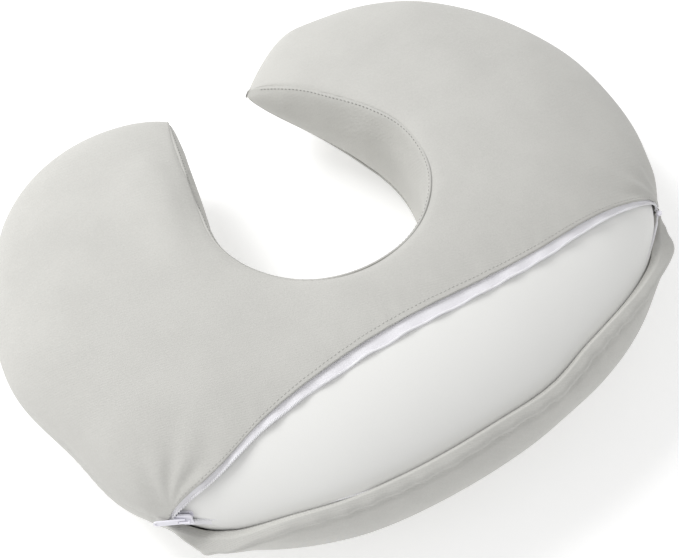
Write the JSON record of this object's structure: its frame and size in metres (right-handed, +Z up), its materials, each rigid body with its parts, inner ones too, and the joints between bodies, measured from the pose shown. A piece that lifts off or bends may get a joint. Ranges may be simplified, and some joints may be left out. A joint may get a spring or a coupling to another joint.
{
  "type": "nursing pillow",
  "caption": "C-shaped stuffed pillow with pointed arm tips, an inner pillow in a zipped slipcover, shown with the back zip open.",
  "frame": {"origin": "under the middle of the whole pillow's box, on the surface that it lies on", "axes": "+Z up, +Y to the open mouth of the C, +X to the arm that the zip closes towards"},
  "size_m": [0.5524, 0.4163, 0.1463],
  "materials": {
    "fibre": "soft polyester fibre",
    "casing_cloth": "smooth off-white woven cloth",
    "casing_thread": "sewing thread",
    "cover_cloth": "light grey knitted plush",
    "cover_thread": "sewing thread, a shade darker than the cover",
    "zip_tape": "white woven zip tape",
    "zip_coil": "white nylon coil",
    "zip_metal": "white lacquered die casting"
  },
  "bodies": {
    "pillow": {"fibre_fill": "fibre", "casing_top_panel": "casing_cloth", "casing_bottom_panel": "casing_cloth", "casing_wall_band": "casing_cloth", "casing_closing_thread": "casing_thread", "cover_top_panel": "cover_cloth", "cover_bottom_panel": "cover_cloth", "cover_wall_band": "cover_cloth", "wall_seam_threads": "cover_thread", "upper_lip_thread": "cover_thread", "lower_lip_thread": "cover_thread", "upper_zip_tape": "zip_tape", "lower_zip_tape": "zip_tape", "upper_zip_coil": "zip_coil", "lower_zip_coil": "zip_coil", "bottom_stop": "zip_metal", "top_stops": "zip_metal"},
    "slider": {"slider_body": "zip_metal"},
    "tab": {"pull_tab": "zip_metal"}
  },
  "joints": [
    {"name": "slider_travel", "type": "hinge", "parent": "pillow", "child": "slider", "pos_m": [0, 0.13227, 0.00137], "axis": [0, 0.2992, 0.9542], "range_deg": [0, 82.8]},
    {"name": "pull_tab_swing", "type": "hinge", "parent": "slider", "child": "tab", "pos_m": [-0.22823, -0.11468, 0.07881], "axis": [0, 0.2992, 0.9542], "range_deg": [0, 165]}
  ]
}
